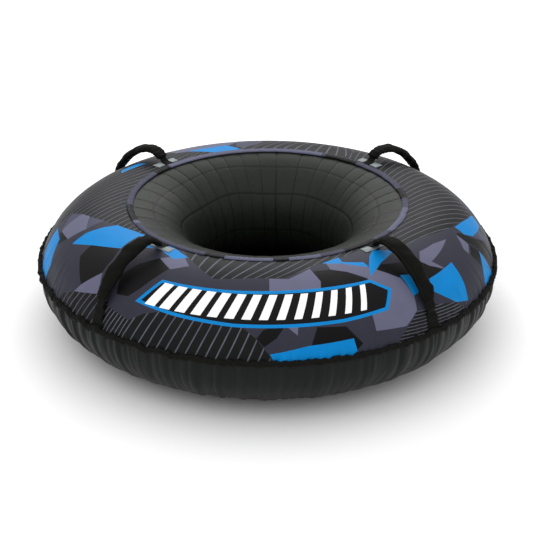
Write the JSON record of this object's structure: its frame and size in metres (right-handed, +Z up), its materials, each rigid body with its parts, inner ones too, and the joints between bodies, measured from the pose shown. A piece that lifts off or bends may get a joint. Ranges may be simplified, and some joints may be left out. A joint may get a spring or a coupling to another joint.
{
  "type": "towable tube",
  "caption": "Round inflatable towable tube in a sewn cover with an open middle, padded grab handles on top, an air valve in the hole and a tow point on the outer seam.",
  "frame": {"origin": "middle of the base panel's underside, on the floor under the centre of the ring", "axes": "+Z up along the axis of the ring, -Y towards the printed front, +Y towards the tow point"},
  "size_m": [1.2072, 1.2163, 0.348],
  "materials": {
    "rubber": "satin",
    "brass": "plain",
    "black_plastic": "matte",
    "printed_nylon": "printed in blue, greys and black",
    "black_nylon": "coated",
    "black_webbing": "woven",
    "grey_tape": "woven",
    "elastic": "braided",
    "steel": "plated"
  },
  "bodies": {
    "tube": {"inner_tube": "rubber", "valve_base": "rubber", "valve_stem": "brass", "valve_core": "brass", "top_cover": "printed_nylon", "bottom_cover": "black_nylon", "base_panel": "black_nylon", "rim_hem": "grey_tape", "rim_elastic": "elastic", "seam_binding": "black_nylon", "handle_front_left_foot": "black_webbing", "handle_front_left_end": "black_webbing", "handle_front_left_patch": "grey_tape", "handle_front_right_foot": "black_webbing", "handle_front_right_end": "black_webbing", "handle_front_right_patch": "grey_tape", "handle_rear_left_foot": "black_webbing", "handle_rear_left_end": "black_webbing", "handle_rear_left_patch": "grey_tape", "handle_rear_right_foot": "black_webbing", "handle_rear_right_end": "black_webbing", "handle_rear_right_patch": "grey_tape", "tow_patch": "black_nylon", "tow_anchor": "black_webbing"},
    "valve_cap": {"valve_cap": "black_plastic"},
    "valve_pin": {"valve_core_pin": "brass"},
    "tow_loop": {"tow_loop": "black_webbing"},
    "tow_ring": {"tow_ring": "steel"},
    "handle_front_left": {"handle_front_left_webbing": "black_webbing", "handle_front_left_sleeve": "black_nylon"},
    "handle_front_right": {"handle_front_right_webbing": "black_webbing", "handle_front_right_sleeve": "black_nylon"},
    "handle_rear_left": {"handle_rear_left_webbing": "black_webbing", "handle_rear_left_sleeve": "black_nylon"},
    "handle_rear_right": {"handle_rear_right_webbing": "black_webbing", "handle_rear_right_sleeve": "black_nylon"}
  },
  "joints": [
    {"name": "front_left_handle_swing", "type": "hinge", "parent": "tube", "child": "handle_front_left", "pos_m": [-0.26102, -0.29502, 0.321], "axis": [-0.6181, -0.6642, -0.4206], "range_deg": [-24, 24], "stiffness_Nm_per_rad": 0.4},
    {"name": "front_right_handle_swing", "type": "hinge", "parent": "tube", "child": "handle_front_right", "pos_m": [0.26102, -0.29502, 0.321], "axis": [0.5663, -0.7089, -0.4204], "range_deg": [-24, 24], "stiffness_Nm_per_rad": 0.4},
    {"name": "rear_left_handle_swing", "type": "hinge", "parent": "tube", "child": "handle_rear_left", "pos_m": [-0.29502, 0.26102, 0.321], "axis": [-0.7231, 0.5484, -0.42], "range_deg": [-24, 24], "stiffness_Nm_per_rad": 0.4},
    {"name": "rear_right_handle_swing", "type": "hinge", "parent": "tube", "child": "handle_rear_right", "pos_m": [0.29502, 0.26102, 0.321], "axis": [0.7231, 0.5484, -0.42], "range_deg": [-24, 24], "stiffness_Nm_per_rad": 0.4},
    {"name": "valve_cap_pull", "type": "slide", "parent": "tube", "child": "valve_cap", "axis": [0, 1, 0], "range_m": [0, 0.02]},
    {"name": "valve_pin_press", "type": "slide", "parent": "tube", "child": "valve_pin", "axis": [0, 1, 0], "range_m": [-0.0012, 0], "stiffness_N_per_m": 120},
    {"name": "tow_loop_swing", "type": "hinge", "parent": "tube", "child": "tow_loop", "pos_m": [0, 0.60725, 0.17611], "axis": [1, 0, 0], "range_deg": [0, 140]},
    {"name": "tow_ring_swing", "type": "hinge", "parent": "tow_loop", "child": "tow_ring", "pos_m": [0, 0.60725, 0.13471], "axis": [1, 0, 0], "range_deg": [-20, 120]}
  ]
}
